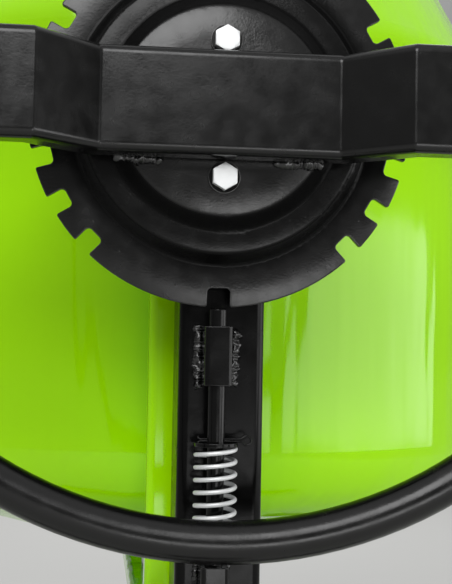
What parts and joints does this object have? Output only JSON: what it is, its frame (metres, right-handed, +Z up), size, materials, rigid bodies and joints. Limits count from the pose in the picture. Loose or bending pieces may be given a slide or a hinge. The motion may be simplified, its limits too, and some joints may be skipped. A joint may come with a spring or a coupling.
{
  "type": "tilting drum mixer",
  "caption": "Upright tilting-drum mixer with handwheel, notched tilt lock worked by a pedal, geared drum and motor.",
  "frame": {"origin": "on the ground under the middle of the whole object's box", "axes": "+Z up; the trunnion axis runs along Y with the handwheel on the -Y side; +X is to the right when facing the handwheel"},
  "size_m": [0.7, 1.323, 1.188],
  "materials": {
    "green_paint": "gloss lime green paint",
    "black_powder_coat": "semi-gloss black powder coat",
    "cast_iron": "as cast",
    "bright_steel": "turned",
    "zinc": "zinc plated",
    "bronze": "turned bronze",
    "rubber": "moulded rubber",
    "tyre": "moulded rubber",
    "wheel_paint": "gloss black paint",
    "black_plastic": "moulded plastic",
    "motor_paint": "grey enamel",
    "green_plastic": "moulded",
    "red_plastic": "moulded"
  },
  "bodies": {
    "stand": {"front_post": "black_powder_coat", "rear_post": "black_powder_coat", "base_beam": "black_powder_coat", "front_crossbar": "black_powder_coat", "axle_beam": "black_powder_coat", "gussets": "black_powder_coat", "rubber_feet": "rubber", "axle_stubs": "bright_steel", "wheel_retainers": "zinc", "bearing_housings": "black_powder_coat", "trunnion_bushes": "bronze", "rod_guides": "black_powder_coat", "pedal_pivot_pin": "zinc", "motor_tray": "black_plastic", "motor_cover": "black_plastic", "drive_belt": "rubber", "motor_mount": "black_powder_coat", "motor_case": "motor_paint", "motor_bearings": "bright_steel", "motor_stator": "bright_steel", "switch_box": "black_plastic", "power_inlet": "black_plastic", "lock_spring": "zinc"},
    "yoke": {"yoke_frame": "green_paint", "front_trunnion": "black_powder_coat", "rear_trunnion": "black_powder_coat", "pinion_bushes": "bronze", "index_plate": "black_powder_coat", "plate_bolts": "zinc", "plate_washers": "black_powder_coat", "handwheel_spoke": "black_powder_coat", "handwheel_rim": "black_powder_coat", "drum_spindle": "bright_steel"},
    "drum": {"drum_lower": "green_paint", "drum_upper": "green_paint", "mouth_ring": "green_paint", "drum_seam_bolts": "zinc", "mixing_paddles": "green_paint", "ring_gear": "cast_iron", "drum_hub": "green_paint", "drum_bearings": "bright_steel", "hub_bolts": "zinc"},
    "pinion": {"pinion_gear": "cast_iron", "pinion_shaft": "bright_steel", "drive_pulley": "cast_iron"},
    "motor_shaft": {"motor_rotor": "bright_steel", "motor_pulley": "cast_iron"},
    "lock_rod": {"lock_rod": "black_powder_coat", "rod_washer": "zinc", "rod_split_pin": "zinc", "rod_nut": "zinc"},
    "pedal": {"pedal_lever": "black_powder_coat", "pedal_pad": "rubber"},
    "left_wheel": {"left_wheel_rim": "wheel_paint", "left_tyre": "tyre"},
    "right_wheel": {"right_wheel_rim": "wheel_paint", "right_tyre": "tyre"},
    "start_button": {"start_button": "green_plastic"},
    "stop_button": {"stop_button": "red_plastic"}
  },
  "joints": [
    {"name": "yoke_tilt", "type": "hinge", "parent": "stand", "child": "yoke", "pos_m": [0, -0.0365, 0.8], "axis": [0, 1, 0], "range_deg": [-120, 120]},
    {"name": "drum_spin", "type": "hinge", "parent": "yoke", "child": "drum", "pos_m": [0, -0.0365, 0.8], "axis": [0, 0, 1], "continuous": true},
    {"name": "pinion_spin", "type": "hinge", "parent": "yoke", "child": "pinion", "pos_m": [0, -0.0365, 0.8], "axis": [0, 1, 0], "continuous": true},
    {"name": "motor_spin", "type": "hinge", "parent": "stand", "child": "motor_shaft", "pos_m": [0, -0.0365, 0.59], "axis": [0, 1, 0], "continuous": true},
    {"name": "pedal_press", "type": "hinge", "parent": "stand", "child": "pedal", "pos_m": [0, -0.4565, 0.165], "axis": [-1, 0, 0], "range_deg": [0, 13.5]},
    {"name": "lock_rod_slide", "type": "slide", "parent": "stand", "child": "lock_rod", "axis": [0, 0, 1], "range_m": [0, 0.01084], "deforming": ["lock_spring"]},
    {"name": "left_wheel_spin", "type": "hinge", "parent": "stand", "child": "left_wheel", "pos_m": [-0.253, 0.3835, 0.12], "axis": [1, 0, 0], "continuous": true},
    {"name": "right_wheel_spin", "type": "hinge", "parent": "stand", "child": "right_wheel", "pos_m": [0.253, 0.3835, 0.12], "axis": [1, 0, 0], "continuous": true},
    {"name": "start_button_press", "type": "slide", "parent": "stand", "child": "start_button", "axis": [0, -1, 0], "range_m": [0, 0.0035], "stiffness_N_per_m": 300},
    {"name": "stop_button_press", "type": "slide", "parent": "stand", "child": "stop_button", "axis": [0, -1, 0], "range_m": [0, 0.0035], "stiffness_N_per_m": 300}
  ],
  "couplings": [
    {"joint": "pinion_spin", "follows": "drum_spin", "ratio": -7},
    {"joint": "motor_spin", "follows": "drum_spin", "ratio": -27.364},
    {"joint": "lock_rod_slide", "follows": "pedal_press", "m_per_rad": 0.046}
  ]
}
